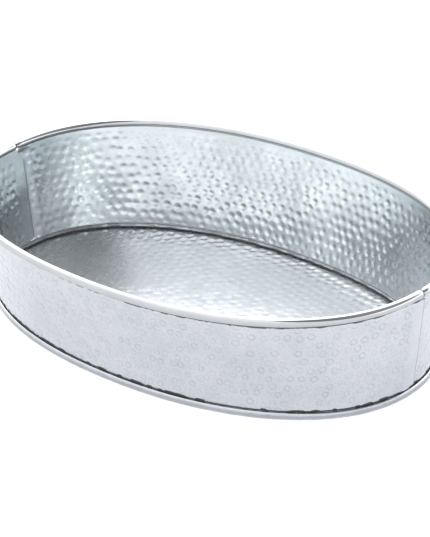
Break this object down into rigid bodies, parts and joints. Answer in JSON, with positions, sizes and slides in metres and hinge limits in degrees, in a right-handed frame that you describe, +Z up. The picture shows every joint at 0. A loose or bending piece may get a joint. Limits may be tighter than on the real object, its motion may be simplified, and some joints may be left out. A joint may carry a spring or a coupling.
{
  "type": "hammered oval tray tub",
  "caption": "Shallow oval tub of hammered galvanised sheet steel with a flared wall, rolled rim and flat seamed base, used as a serving tray, drinks tub or planter.",
  "frame": {"origin": "on the ground, under the middle of the base", "axes": "+X along the oval towards one of its two lock seams, +Y across it towards the rear wall panel, +Z up out of the open top"},
  "size_m": [0.4064, 0.2824, 0.089],
  "materials": {
    "hammered_wall_sheet": "bright hot-dip galvanised sheet steel, hammered all over in a staggered pattern of shallow round dimples",
    "hammered_base_sheet": "bright hot-dip galvanised sheet steel, hammered all over in a staggered pattern of shallow round dimples",
    "rim_wire": "plain drawn steel wire, hidden inside the rolled rim"
  },
  "bodies": {
    "root": {"front_wall": "hammered_wall_sheet", "rear_wall": "hammered_wall_sheet", "base_panel": "hammered_base_sheet", "front_rim_wire": "rim_wire", "rear_rim_wire": "rim_wire"}
  },
  "joints": []
}
